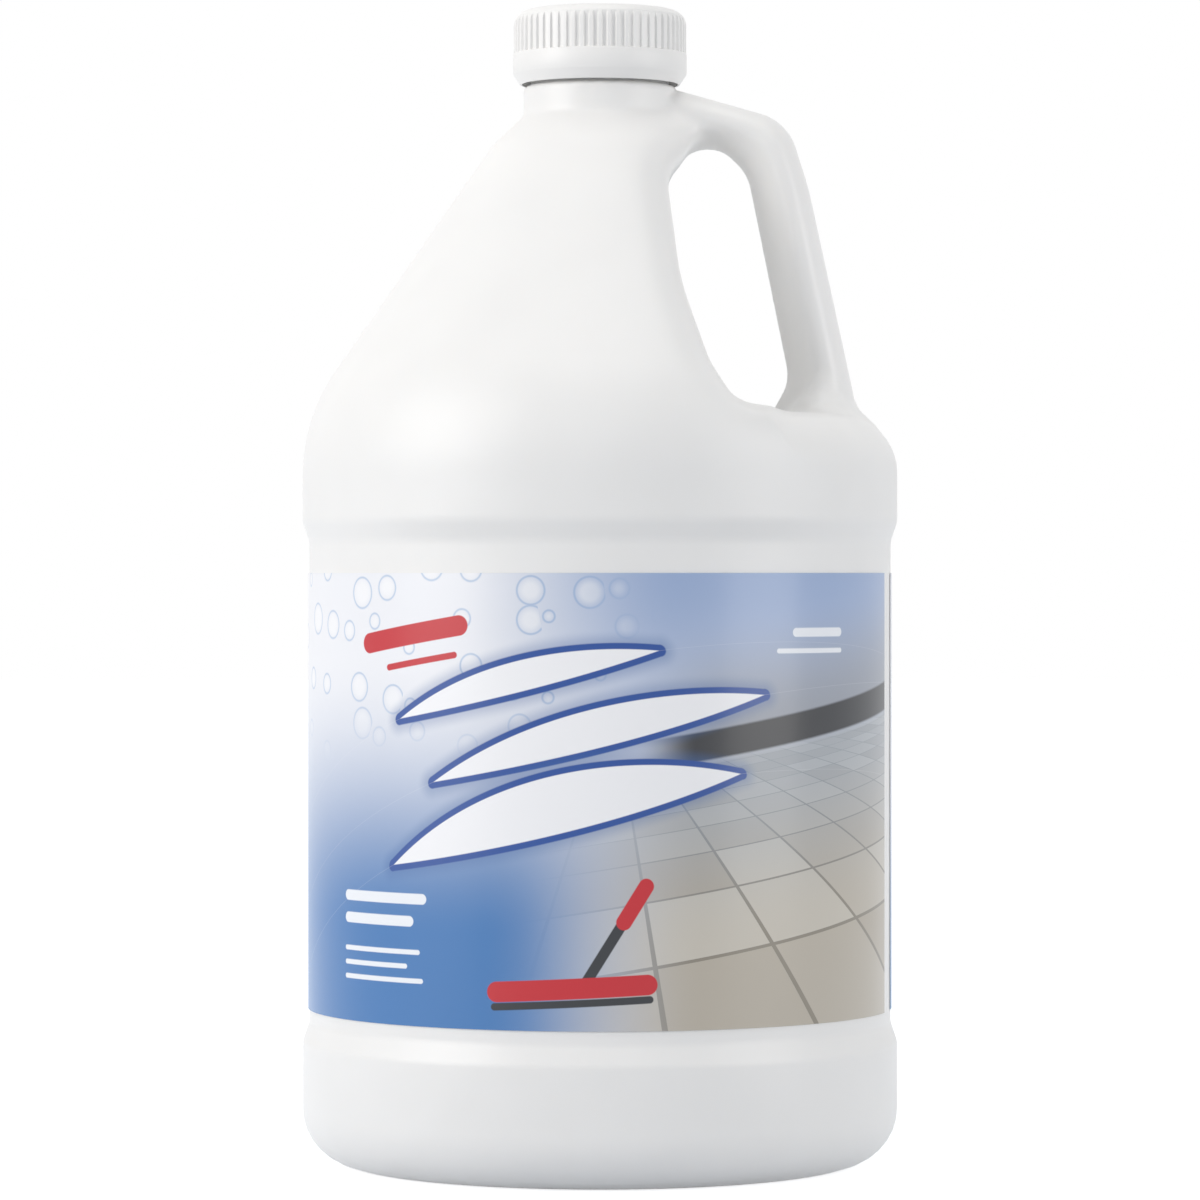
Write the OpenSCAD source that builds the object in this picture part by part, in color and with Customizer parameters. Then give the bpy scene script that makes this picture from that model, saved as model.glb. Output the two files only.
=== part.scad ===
// One-gallon round jug with a moulded-in grip handle, a push-and-turn screw cap and two labels.
// The axis of the body is Z and its standing ring lies on z = 0. The handle is on the +X side,
// the front label faces -Y and the mould's parting plane is y = 0.

/* [Bottle body] */
// Width across the two bulges, below and above the labels
body_d = 151.5; // [148:0.5:156]
// Wall thickness of the blown shell
wall = 1; // [0.8:0.1:1.6]
// Radius of the heel between the side and the standing ring
heel_r = 14; // [8:1:18]
// Outer radius of the pushed-up middle of the base
push_up_r = 50; // [40:1:54]
// Height of the pushed-up middle above the standing ring
push_up_h = 5; // [3:0.5:8]
// Depth of the label panel inside the bulges
panel_depth = 1.7; // [1:0.1:2.5]
// Height of the lower edge of the label panel
panel_z = 33.5; // [32:0.5:38]
// Height of the label panel
panel_h = 127; // [118:1:130]
// Height of the blend between the panel and each bulge
blend_h = 5; // [4:0.5:8]

/* [Shoulder and neck] */
// Height at which the side and the shoulder slope would meet in a corner
shoulder_z = 189.5; // [188:0.5:192]
// Radius of the bend from the side into the shoulder
shoulder_r = 46; // [36:1:46]
// Radius of the shoulder where it bends in towards the neck
collar_r = 27.5; // [27:0.1:28.5]
// Height of that bend
collar_z = 259; // [258:0.2:260]
// Width of the plain neck below the finish
neck_d = 39; // [38.6:0.1:39.4]
// Height of the foot of the neck
neck_z = 266.5; // [266:0.1:267.5]
// Height of the ledge on top of the plain neck
ledge_z = 274; // [273.5:0.1:275]

/* [Finish: the threaded mouth] */
// Width at the root of the thread
root_d = 35.1; // [34.9:0.1:35.3]
// Width over the crest of the thread
thread_d = 37.5; // [37.3:0.1:37.7]
// Rise of the thread in one turn
pitch = 4.233; // [4:0.01:4.4]
// Turn of the bottle's thread
bottle_turn = 450; // [400:10:460]
// Height of the finish from its ledge to the lip
finish_h = 14.3; // [14:0.1:14.8]
// Width of the mouth
bore_d = 31; // [28:0.5:31.5]

/* [Grip] */
// Height of the shelf on which the grip stands
shelf_z = 190; // [188:0.5:192]
// Radius of the shelf's outer edge
shelf_r = 14.5; // [8:0.5:16]
// Distance from the axis to the flat wall of the finger gap, near its top
gap_x = 17.4; // [16:0.2:19]
// Radius that rounds the finger gap's edge on the body
gap_edge_r = 5; // [3:0.5:6]
// Height of the top of the finger gap
gap_top_z = 258.2; // [257:0.2:259]
// Width of the grip from the gap to its outer side
grip_w = 14.8; // [13:0.2:16]
// Thickness of the grip across the parting plane
grip_t = 25; // [20:0.5:27]
// Thickness of the arm where it leaves the neck
arm_t = 18; // [15:0.5:22]
// Drop from the ledge of the finish to the top of the arm
arm_drop = 1; // [1:0.1:2]
// Distance from the axis to the grip's outer corner at the top
grip_x = 47.8; // [46:0.1:49]
// Height of that corner
grip_z = 265.1; // [264:0.1:266]
// Radius of that corner
grip_r = 13; // [8:1:16]
// Distance of the grip's foot inside the widest part of the body
foot_inset = 10.4; // [9:0.1:12]

/* [Cap] */
// Width over the cap's smooth lower band
cap_d = 44.3; // [44:0.1:45]
// Height of the outer cap above its hem
cap_h = 16.4; // [16.2:0.1:17.5]
// Height of the tapered hem below the band
hem_h = 2.5; // [1.5:0.1:2.5]
// Taper of the hem, in radius
hem_in = 1.8; // [1:0.1:1.8]
// Height of the smooth lower band
band_h = 5.3; // [4:0.1:6]
// Number of ribs round the cap
ribs = 60; // [40:2:72]
// Depth of the grooves between the ribs
rib_h = 0.6; // [0.3:0.1:0.7]
// Side and top wall of the outer cap
cap_wall = 1.2; // [1:0.1:1.3]
// Radius of the outer cap's top edge
cap_edge_r = 4; // [2:0.1:4]
// Side and top wall of the inner cap
inner_wall = 1.2; // [1:0.1:1.3]
// Thickness of the foam liner
liner_t = 0.9; // [0.6:0.1:1.2]
// Distance that the outer cap is pushed down to catch the inner one
push_travel = 0.9; // [0.8:0.05:1.1]
// Number of drive lugs on each cap
lugs = 8; // [6:1:12]
// Height of the drive lugs
lug_h = 0.8; // [0.5:0.1:0.8]

/* [Labels] */
// Bare strip of panel below the labels
label_rise = 6; // [4:0.5:8]
// Bare strip of panel above the labels
label_drop = 10.5; // [5.5:0.5:12]
// Angle that the front label spans round the body
label_span = 172; // [120:1:200]
// Angle of bare panel between the ends of the two labels
label_gap = 8; // [2:1:30]
// Turn of the labels' middle away from the front, against the grip
label_turn = 12; // [0:1:14]
// Thickness of the label film
label_t = 0.2; // [0.1:0.05:0.3]

/* [Clearances] */
// Radial gap between each thread's crest and the wall that it turns in
thread_gap = 0.25; // [0.2:0.05:0.3]
// Axial gap between the two threads where they bear
thread_play = 0.1; // [0.05:0.01:0.2]
// Radial gap between the inner and the outer cap
cap_gap = 0.5; // [0.4:0.05:0.6]
// Layer of adhesive between the panel and a label
label_glue = 0.1; // [0.05:0.01:0.2]
// Gap that keeps parts of the two caps apart at rest and at the end of the push
lug_gap = 0.2; // [0.1:0.05:0.3]

/* [Hidden] */
$fn = 96;
hdpe = "#f2f1ef";
cap_white = "#f6f5f3";
foam_white = "#dfe3e6";
label_blue = "#a9c3de";
far = 200;

// Radii
body_r = body_d / 2;
panel_r = body_r - panel_depth;
neck_r = neck_d / 2;
root_r = root_d / 2;
crest_r = thread_d / 2;
bore_r = bore_d / 2;
cap_r = cap_d / 2;

// Heights of the finish and of the cap's layers, from the lip upwards
lip_z = ledge_z + finish_h;
liner_top = lip_z + liner_t;
inner_top = liner_top + inner_wall;
roof_z = inner_top + lug_h + push_travel + lug_gap / 2;
cap_top = roof_z + cap_wall;
cap_z = cap_top - cap_h;

// Radii of the two caps
inner_bore_r = crest_r + thread_gap;
inner_r = inner_bore_r + inner_wall;
outer_bore_r = inner_r + cap_gap;
snap_r = inner_r - 0.3;
snap_h = 1;
skirt_z = cap_z + snap_h + lug_gap / 2;

// Corners of a path are [x, z, radius]. They are rounded with arcs of arc_n steps.
arc_n = 6;
function unit(v) = v / norm(v);
function spot(c) = [c[0], c[1]];
function left(v) = [-v[1], v[0]];

// Arc that rounds corner b, on the way from a to c
function corner_arc(a, b, c, r) =
    let (u = unit(a - b), v = unit(c - b), half = acos(u * v) / 2,
         centre = b + unit(u + v) * r / sin(half),
         from = b + u * r / tan(half) - centre, to = b + v * r / tan(half) - centre,
         sweep = 180 - 2 * half)
    [for (i = [0 : arc_n]) let (t = sweep * i / arc_n)
        centre + (from * sin(sweep - t) + to * sin(t)) / sin(sweep)];

function rounded(p) = [
    spot(p[0]),
    for (i = [1 : len(p) - 2]) each corner_arc(spot(p[i - 1]), spot(p[i]), spot(p[i + 1]), p[i][2]),
    spot(p[len(p) - 1])];

// The same path moved by d to the left of its direction, each arc about its old centre
function beside(p, d) = [
    for (i = [0 : len(p) - 1])
        let (before = i > 0 ? unit(spot(p[i]) - spot(p[i - 1])) : unit(spot(p[1]) - spot(p[0])),
             after = i < len(p) - 1 ? unit(spot(p[i + 1]) - spot(p[i])) : before,
             m = (left(before) + left(after)) / (1 + before * after),
             bend = sign(cross(before, after)))
        [p[i][0] + d * m[0], p[i][1] + d * m[1], max((i > 0 ? p[i][2] : 0) - d * bend, 0.2)]];

// Point at the share s of a path's length
function run(p, i = 0, sum = 0) =
    i == len(p) - 1 ? [sum] : concat([sum], run(p, i + 1, sum + norm(p[i + 1] - p[i])));
function along(p, sums, s) =
    let (at = s * sums[len(sums) - 1])
    [lookup(at, [for (i = [0 : len(p) - 1]) [sums[i], p[i][0]]]),
     lookup(at, [for (i = [0 : len(p) - 1]) [sums[i], p[i][1]]])];

// Closed skin over rings of points, each ring with as many points as the next
module skin(rings) {
    n = len(rings[0]);
    last = len(rings) - 1;
    polyhedron(
        points = [for (ring = rings) each ring],
        faces = concat(
            [[for (i = [0 : n - 1]) i]],
            [for (k = [0 : last - 1], i = [0 : n - 1], half = [0, 1])
                let (a = k * n + i, b = k * n + (i + 1) % n)
                half == 0 ? [a, a + n, b] : [b, a + n, b + n]],
            [[for (i = [n - 1 : -1 : 0]) last * n + i]]));
}

// Outline of the body from the middle of its base, up the side and the shoulder to the neck
push_up_bend = 6;
ring_bend = 3;
low_blend_r = 5;
high_blend_r = 8;
collar_bend = 20;
neck_bend = 2;
body_path = [
    [0, push_up_h, 0],
    [push_up_r, push_up_h, push_up_bend],
    [push_up_r + push_up_h, 0, ring_bend],
    [body_r, 0, heel_r],
    [body_r, panel_z - blend_h / 2, low_blend_r],
    [panel_r, panel_z + blend_h / 2, low_blend_r],
    [panel_r, panel_z + panel_h - blend_h / 2, high_blend_r],
    [body_r, panel_z + panel_h + blend_h / 2, high_blend_r],
    [body_r, shoulder_z, shoulder_r],
    [collar_r, collar_z, collar_bend],
    [neck_r, neck_z, neck_bend]];
ledge_bend = 1;
root_bend = 0.4;
lip_bend = 0.8;
neck_path = [
    [neck_r, ledge_z, ledge_bend],
    [root_r, ledge_z, root_bend],
    [root_r, lip_z, lip_bend],
    [0, lip_z, 0]];

// Outline of the space inside: the body's outline one wall further in, then the mouth
inside_path = beside(body_path, wall);
collar_in = inside_path[len(inside_path) - 2];
neck_slope = (neck_z - collar_z) / (collar_r - neck_r);
mouth_path = [
    [bore_r, collar_in[1] + (collar_in[0] - bore_r) * neck_slope, 4],
    [bore_r, lip_z + 1, 0]];

// Edge of the shelf below the finger gap
shelf_path = [[body_r, shelf_z - 2 * shelf_r, 0], [body_r, shelf_z, shelf_r], [0, shelf_z, 0]];

// Finger gap, from the shelf up along the body and over its top. The same corners shape the grip.
gap_bottom_x = body_r - 34.2;
gap_wall_path = [
    [gap_bottom_x + 2.5, shelf_z - 0.7 * shelf_r, 0],
    [gap_bottom_x, shelf_z - 0.5, 1],
    [gap_bottom_x - 7.6, shelf_z + 1, 10],
    [gap_bottom_x - 14.6, shelf_z + 12.2, 20],
    [gap_x + 2.6, gap_top_z - 35.6, 60],
    [gap_x - 0.7, gap_top_z - 7.3, 8],
    [gap_x + 6.5, gap_top_z - 0.4, 6],
    [gap_x + 46.5, gap_top_z + 19.6, 0]];

// Outer side and gap side of the grip, both from the neck over the top corner to the foot
foot_x = body_r - foot_inset;
haunch = [grip_x + 5.4, grip_z - 17.1];
grip_lean = (foot_x - haunch[0]) / (haunch[1] - shelf_z);
grip_out_path = [
    [neck_r - 7, ledge_z - arm_drop, 0],
    [neck_r + 0.5, ledge_z - arm_drop, 6],
    [grip_x, grip_z, grip_r],
    [haunch[0], haunch[1], 60],
    [foot_x, shelf_z + 2.3, 8],
    [foot_x + 5.6, shelf_z - 3, 10],
    [foot_x + 9, shelf_z - 8.9, 0]];
arch_drop = 6.6;
grip_in_path = [
    [gap_x - 3, gap_top_z - 20, 0],
    [gap_x - 0.3, gap_top_z - arch_drop - 0.5, 8],
    [gap_x + 6.5, gap_top_z - 0.2, 8],
    [gap_x + 13.8, gap_top_z - 0.2, 8],
    [haunch[0] + (haunch[1] - gap_top_z + arch_drop) * grip_lean - grip_w, gap_top_z - arch_drop, 12],
    [foot_x - grip_w - 2.2, shelf_z + 9, 10],
    [gap_bottom_x - 0.5, shelf_z - 4, 0]];
grip_n = 40;
section_n = 20;
grip_half = [[0, arm_t / 2], [0.32, grip_t / 2], [0.86, grip_t / 2], [1, grip_t / 2 + 4]];

// Teardrop section of the grip: narrow at the gap, widest 60 % of the way out
function drop(a) = 1.16 * sin(a) * sqrt(abs(sin(a / 2)));

// The grip, made smaller all round by t
module grip(t) {
    outer = rounded(beside(grip_out_path, -t));
    inner = rounded(beside(grip_in_path, t));
    outer_run = run(outer);
    inner_run = run(inner);
    skin([for (k = [0 : grip_n])
        let (s = k / grip_n, o = along(outer, outer_run, s), i = along(inner, inner_run, s),
             half = lookup(s, grip_half) - t)
        [for (j = [0 : section_n - 1])
            let (a = 360 * j / section_n, w = (1 - cos(a)) / 2, p = i + (o - i) * w)
            [p[0], half * drop(a), p[1]]]]);
}

// What the finger gap takes from the body. With t it takes more, so that a wall of t is left.
module finger_gap(t) {
    inset = gap_edge_r * 0.6;
    steps = [0, 20, 40];
    edge = [for (a = steps) gap_edge_r - (gap_edge_r - t) * cos(a)];
    reach = [for (a = steps) (gap_edge_r - t) * sin(a)];
    run_out = 12;
    depth = concat(edge, [edge[2] + run_out * sin(steps[2])]);
    across = concat(reach, [reach[2] + run_out * cos(steps[2])]);
    wall_line = rounded(gap_wall_path);
    half = [for (p = wall_line)
        sqrt(max(pow(lookup(p[1], [for (b = rounded(body_path)) [b[1], b[0]]]), 2) - p[0] * p[0], 64)) - inset];
    rows = [for (side = [-1, 1], k = [0 : 3]) let (i = side < 0 ? 3 - k : k)
        let (line = rounded(beside(gap_wall_path, depth[i])))
        let (y = side * (half[0] + across[i]))
        concat(
            [[far, y, grip_z - 40], [far, y, line[0][1]]],
            [for (u = [0 : len(line) - 1]) [line[u][0], side * (half[u] + across[i]), line[u][1]]],
            [[far, y, far + gap_top_z]])];
    skin(rows);
}

// Solid turned from a path, closed on the axis at the heights of the path's ends
module turned(path) rotate_extrude()
    polygon(concat([[0, path[0][1]]], rounded(path), [[0, path[len(path) - 1][1]]]));

module shelf(t) rotate_extrude()
    polygon(concat(rounded(beside(shelf_path, t)), [[0, shelf_z - 2 * shelf_r]]));

module body_less_gap(path, t) difference() {
    turned(path);
    difference() {
        finger_gap(t);
        shelf(t);
    }
}

// Thread ridge along a helix, from angle a0 to a1, dying into its wall at both ends
thread_foot = 2.4;
thread_tip = 1.2;
fade = 25;
module thread(foot_r, tip_r, z0, a0, a1) {
    steps = ceil((a1 - a0) / 10);
    bed = sign(foot_r - tip_r) * 0.3;
    skin([for (k = [0 : steps])
        let (a = a0 + (a1 - a0) * k / steps, z = z0 + pitch * a / 360,
             grow = min(1, (a - a0) / fade, (a1 - a) / fade),
             tip = foot_r + bed / 2 + (tip_r - foot_r - bed / 2) * grow,
             ends = [[foot_r + bed, -thread_foot / 2], [foot_r + bed, thread_foot / 2],
                     [tip, thread_tip / 2], [tip, -thread_tip / 2]])
        [for (e = foot_r > tip_r ? [ends[3], ends[2], ends[1], ends[0]] : ends)
            [e[0] * cos(a), e[0] * sin(a), z + e[1]]]]);
}
bottle_thread_z = lip_z - 8.3;
cap_thread_z = bottle_thread_z - (thread_foot + thread_tip) / 2 - thread_play;
cap_thread_start = 120;

module bottle() color(hdpe) difference() {
    union() {
        body_less_gap(concat(body_path, neck_path), 0);
        grip(0);
        thread(root_r, crest_r, bottle_thread_z, 0, bottle_turn);
    }
    body_less_gap(concat([for (i = [0 : len(inside_path) - 2]) inside_path[i]], mouth_path), wall);
    grip(wall);
}

// Drive lugs in a ring, from height z up, with their roots in the wall that carries them
lug_in_r = 8;
lug_out_r = 16;
lug_root = 0.3;
module lug_ring(z, turn) for (k = [0 : lugs - 1])
    rotate([0, 0, 360 / lugs * (k - 0.2) + turn])
        rotate_extrude(angle = 360 / lugs * 0.4)
            translate([lug_in_r, z]) square([lug_out_r - lug_in_r, lug_h + lug_root]);

// Outline of the ribbed side: each rib has a flat crest, sloping flanks and a narrow groove floor
crest_out_r = cap_r - 0.15;
rib_steps = [[0, 0], [0.14, 0], [0.34, 1], [0.8, 1]];
module ribbed(h) linear_extrude(h)
    polygon([for (k = [0 : ribs - 1], step = rib_steps)
        let (a = 360 / ribs * (k + step[0]), r = crest_out_r - rib_h * (1 - step[1]))
        r * [cos(a), sin(a)]]);

// The cavity's upper edge is bevelled, to keep the wall under the rounded top edge
roof_bevel = 0.8;
module cap_outer() color(cap_white) union() {
    difference() {
        union() {
            turned([[cap_r - hem_in - 0.1, cap_z - hem_h, 0], [cap_r - hem_in, cap_z - hem_h, 0.1],
                [cap_r, cap_z, 0.5], [cap_r, cap_z + band_h, 0.3],
                [cap_r - 0.6, cap_z + band_h + 0.2, 0]]);
            intersection() {
                translate([0, 0, cap_z + 0.5]) ribbed(cap_h);
                turned([[crest_out_r + 1, cap_z, 0], [crest_out_r + 0.1, cap_z + band_h, 0.5],
                    [crest_out_r, cap_top, cap_edge_r], [1, cap_top, 0]]);
            }
        }
        translate([0, 0, cap_z - hem_h - 1]) cylinder(r = snap_r, h = hem_h + snap_h + 2);
        turned([[outer_bore_r, cap_z + snap_h, 0], [outer_bore_r, roof_z - roof_bevel, 0.1],
            [lug_out_r + 1, roof_z, 0.1], [1, roof_z, 0]]);
    }
    lug_ring(roof_z - lug_h, 0);
}

module cap_inner() color(cap_white) union() {
    difference() {
        translate([0, 0, skirt_z]) cylinder(r = inner_r, h = inner_top - skirt_z);
        translate([0, 0, skirt_z - 1]) cylinder(r = inner_bore_r, h = liner_top - skirt_z + 1);
    }
    lug_ring(inner_top - lug_root, 180 / lugs);
    thread(inner_bore_r, root_r + thread_gap, cap_thread_z, cap_thread_start, cap_thread_start + 360);
}

module cap_liner() color(foam_white)
    translate([0, 0, lip_z]) cylinder(r = inner_bore_r - 0.2, h = liner_t);

// Film label wrapped on the panel, its middle at angle turn from +X. The back label takes what the
// front label and the two bare strips leave.
label_h = panel_h - label_rise - label_drop;
label_middle = -90 - label_turn;
module label(turn, span) color(label_blue)
    rotate([0, 0, turn - span / 2]) rotate_extrude(angle = span)
        translate([panel_r + label_glue, panel_z + label_rise]) square([label_t, label_h]);

module front_label() label(label_middle, label_span);
module back_label() label(label_middle + 180, 360 - label_span - 2 * label_gap);

bottle();
cap_outer();
cap_inner();
cap_liner();
front_label();
back_label();
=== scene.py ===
# %% [markdown]
# # A one-gallon jug with a moulded-in grip
# The real jug is blow-moulded from high-density polyethylene: a soft tube is blown out against a
# steel mould in two halves, so every form runs smoothly into the next. A ribbed cap screws on its
# neck, and two printed films are stuck in a shallow panel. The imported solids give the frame, and
# this script dresses them. Blender works in metres, but the shapes are worked out in millimetres,
# because that is how a bottle's drawing is written.

# %% Load the frame
import math

import bpy
import numpy as np
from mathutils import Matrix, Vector


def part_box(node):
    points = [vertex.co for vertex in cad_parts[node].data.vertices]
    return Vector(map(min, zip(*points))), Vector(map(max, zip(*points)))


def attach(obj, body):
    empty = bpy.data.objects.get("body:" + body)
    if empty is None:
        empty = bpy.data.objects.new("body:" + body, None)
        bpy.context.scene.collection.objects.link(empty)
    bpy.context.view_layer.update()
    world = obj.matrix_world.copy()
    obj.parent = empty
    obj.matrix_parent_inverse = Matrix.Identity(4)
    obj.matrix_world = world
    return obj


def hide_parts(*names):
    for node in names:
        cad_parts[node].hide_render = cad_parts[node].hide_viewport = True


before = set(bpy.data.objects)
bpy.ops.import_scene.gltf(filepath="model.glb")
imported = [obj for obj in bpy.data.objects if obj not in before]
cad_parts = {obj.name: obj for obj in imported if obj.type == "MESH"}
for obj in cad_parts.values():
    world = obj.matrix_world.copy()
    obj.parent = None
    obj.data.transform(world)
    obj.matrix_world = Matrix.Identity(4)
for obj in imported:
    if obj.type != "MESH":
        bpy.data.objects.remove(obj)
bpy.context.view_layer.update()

MM = 0.001
print("nodes:", sorted(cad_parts))

# %% [markdown]
# ## The camera
# The photograph was taken from far off with a long lens: the cap's rim is a very flat curve, and the
# upper edge of the label is straight, so the lens was at about that height. A level camera keeps the
# sides upright, and a small shift frames the jug, as a view camera would.

# %% Place the camera
camera_distance = 1.33
camera_height = 0.150
view_across = 0.3062
sensor_width = 36.0

camera_data = bpy.data.cameras.new("studio_camera")
camera_data.sensor_width = sensor_width
camera_data.lens = sensor_width * camera_distance / view_across
camera_data.shift_y = -0.0225
camera_data.clip_start = 0.05
camera = bpy.data.objects.new("studio_camera", camera_data)
camera.location = (0, -camera_distance, camera_height)
camera.rotation_euler = (math.radians(90), 0, 0)
bpy.context.scene.collection.objects.link(camera)
bpy.context.scene.camera = camera
print("lens:", round(camera_data.lens, 1), "mm")

# %% [markdown]
# ## Helpers for materials
# Colours are written as on a screen, in sRGB hex, and the renderer works in linear light. One
# function adds a node, sets it and links it, so that a material reads as a list of its steps.

# %% Define the material helpers
def linear(hex_colour):
    """The linear RGBA of an sRGB hex colour."""
    parts = [int(hex_colour[i:i + 2], 16) / 255 for i in (1, 3, 5)]
    return [c / 12.92 if c <= 0.04045 else ((c + 0.055) / 1.055) ** 2.4 for c in parts] + [1.0]



def add(tree, kind, inputs=(), **settings):
    """Adds a node. inputs maps a socket's name or number to a value, or to what is linked there."""
    node = tree.nodes.new(kind)
    for name, value in settings.items():
        setattr(node, name, value)
    for key, value in dict(inputs).items():
        if isinstance(value, bpy.types.Node):
            value = value.outputs[0]
        if isinstance(value, bpy.types.NodeSocket):
            tree.links.new(value, node.inputs[key])
        else:
            node.inputs[key].default_value = value
    return node


def new_material(name):
    """An empty material, and its tree."""
    material = bpy.data.materials.new(name)
    material.use_nodes = True
    material.node_tree.nodes.clear()
    return material, material.node_tree


# %% [markdown]
# ## White blow-moulded HDPE
# HDPE is waxy: a satin surface that lets a little light in. Blown against a sand-blasted mould, it
# takes a fine grain, and its wall isn't quite even, so that long highlights waver a little. The two
# halves of the mould leave a fine raised line where they met, in the plane of the grip.

# %% Make the bottle's material
hdpe, tree = new_material("blow_moulded_hdpe_white")
grain_mm = 0.6
waver_mm = 22.0
line_half_mm = 0.35

place = add(tree, "ShaderNodeTexCoord").outputs["Object"]
waver = add(tree, "ShaderNodeTexNoise", {"Vector": place, "Scale": 1 / (waver_mm * MM), "Detail": 1.0})
grain = add(tree, "ShaderNodeTexNoise", {"Vector": place, "Scale": 1 / (grain_mm * MM), "Detail": 2.0})
tone = add(tree, "ShaderNodeMix", {0: waver, 6: linear("#f1f0ee"), 7: linear("#f7f6f4")},
    data_type="RGBA")
gloss = add(tree, "ShaderNodeMapRange", {"Value": waver, "To Min": 0.36, "To Max": 0.44})

across = add(tree, "ShaderNodeSeparateXYZ", {0: place}).outputs["Y"]
off_line = add(tree, "ShaderNodeMath", {0: across}, operation="ABSOLUTE")
mould_line = add(tree, "ShaderNodeMapRange", {"Value": off_line, "From Min": 0.0,
    "From Max": line_half_mm * MM, "To Min": 1.0, "To Max": 0.0}, interpolation_type="SMOOTHSTEP")
grain_bump = add(tree, "ShaderNodeBump", {"Height": grain, "Strength": 0.25, "Distance": 0.03 * MM})
waver_bump = add(tree, "ShaderNodeBump", {"Height": waver, "Strength": 0.6, "Distance": 0.4 * MM,
    "Normal": grain_bump})
line_bump = add(tree, "ShaderNodeBump", {"Height": mould_line, "Strength": 0.8, "Distance": 0.12 * MM,
    "Normal": waver_bump})
skin = add(tree, "ShaderNodeBsdfPrincipled", {"Base Color": tone.outputs[2], "Roughness": gloss,
    "IOR": 1.54, "Subsurface Weight": 0.12, "Subsurface Radius": (1.0, 0.9, 0.8),
    "Subsurface Scale": 2.0 * MM, "Normal": line_bump})
add(tree, "ShaderNodeOutputMaterial", {"Surface": skin})
print("made", hdpe.name)

# %% [markdown]
# ## Paths with rounded corners
# A bottle's drawing is a few straight lines with a radius at each corner. The same corners are kept
# here as [across, height, radius], and one function turns them into points.

# %% Define the path helpers
def unit(v):
    return v / np.linalg.norm(v)


def rounded(corners, steps=10):
    """Points of a path whose corners are rounded with arcs."""
    spots = [np.array(c[:2], float) for c in corners]
    points = [spots[0]]
    for before, here, after, corner in zip(spots, spots[1:], spots[2:], corners[1:]):
        u, v = unit(before - here), unit(after - here)
        half = math.acos(float(u @ v)) / 2
        sweep = math.pi - 2 * half
        centre = here + unit(u + v) * corner[2] / math.sin(half)
        start = here + u * corner[2] / math.tan(half) - centre
        end = here + v * corner[2] / math.tan(half) - centre
        for i in range(steps + 1):
            t = sweep * i / steps
            points.append(centre + (start * math.sin(sweep - t) + end * math.sin(t)) / math.sin(sweep))
    return np.array(points + [spots[-1]])


# %% Name the bottle's sizes, in millimetres
body_r = 75.75
wall = 1.0
heel_r = 14.0
push_up_r = 50.0
push_up_h = 5.0
panel_r = body_r - 1.7
panel_z = 33.5
panel_top = panel_z + 127.0
blend_h = 5.0
shoulder_z = 189.5
shoulder_r = 46.0
collar_r = 27.5
collar_z = 259.0
neck_r = 19.5
neck_z = 266.5
ledge_z = 274.0
root_r = 17.55
crest_r = 18.75
bore_r = 15.5
lip_z = 288.3

body_corners = [
    [0, push_up_h, 0],
    [push_up_r, push_up_h, 6],
    [push_up_r + push_up_h, 0, 3],
    [body_r, 0, heel_r],
    [body_r, panel_z - blend_h / 2, 5],
    [panel_r, panel_z + blend_h / 2, 5],
    [panel_r, panel_top - blend_h / 2, 8],
    [body_r, panel_top + blend_h / 2, 8],
    [body_r, shoulder_z, shoulder_r],
    [collar_r, collar_z, 20],
    [neck_r, neck_z, 2],
    [neck_r, ledge_z, 1],
    [root_r, ledge_z, 0.4],
    [root_r, lip_z, 0.8],
    [0, lip_z, 0]]
visual_inset = 0.02
body_line = rounded(body_corners)
body_line[:, 0] = np.maximum(body_line[:, 0] - visual_inset, 0)
print("points on the body's outline:", len(body_line))

# %% [markdown]
# ## The grip as a field
# The grip, the finger gap and the shoulder flow into each other, and no plain primitive does that.
# They could be sculpted, or cut with Booleans and bevelled, but both leave creases. A distance field
# does it exactly: each form is a function that is negative inside it, and a smooth minimum joins two
# forms with a fillet. First come tables of the distance to each drawn line.

# %% Define tables of distance to a line
def distance_to(line, x, z):
    """Distance from each point (x, z) to a line of points, and the share of its length there."""
    lengths = np.linalg.norm(np.diff(line, axis=0), axis=1)
    starts = np.concatenate([[0], np.cumsum(lengths)])
    nearest = np.full(x.shape, np.inf)
    share = np.zeros(x.shape)
    for a, b, length, start in zip(line, line[1:], lengths, starts):
        if length < 1e-9:
            continue
        t = np.clip(((x - a[0]) * (b[0] - a[0]) + (z - a[1]) * (b[1] - a[1])) / length ** 2, 0, 1)
        away = np.hypot(x - a[0] - t * (b[0] - a[0]), z - a[1] - t * (b[1] - a[1]))
        closer = away < nearest
        nearest = np.where(closer, away, nearest)
        share = np.where(closer, (start + t * length) / starts[-1], share)
    return nearest, share


def inside(line, x, z):
    """Whether each point (x, z) is inside the closed outline."""
    odd = np.zeros(x.shape, bool)
    for a, b in zip(line, np.roll(line, -1, axis=0)):
        if a[1] != b[1]:
            crosses = (a[1] > z) != (b[1] > z)
            odd ^= crosses & (x < (b[0] - a[0]) * (z - a[1]) / (b[1] - a[1]) + a[0])
    return odd


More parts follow.
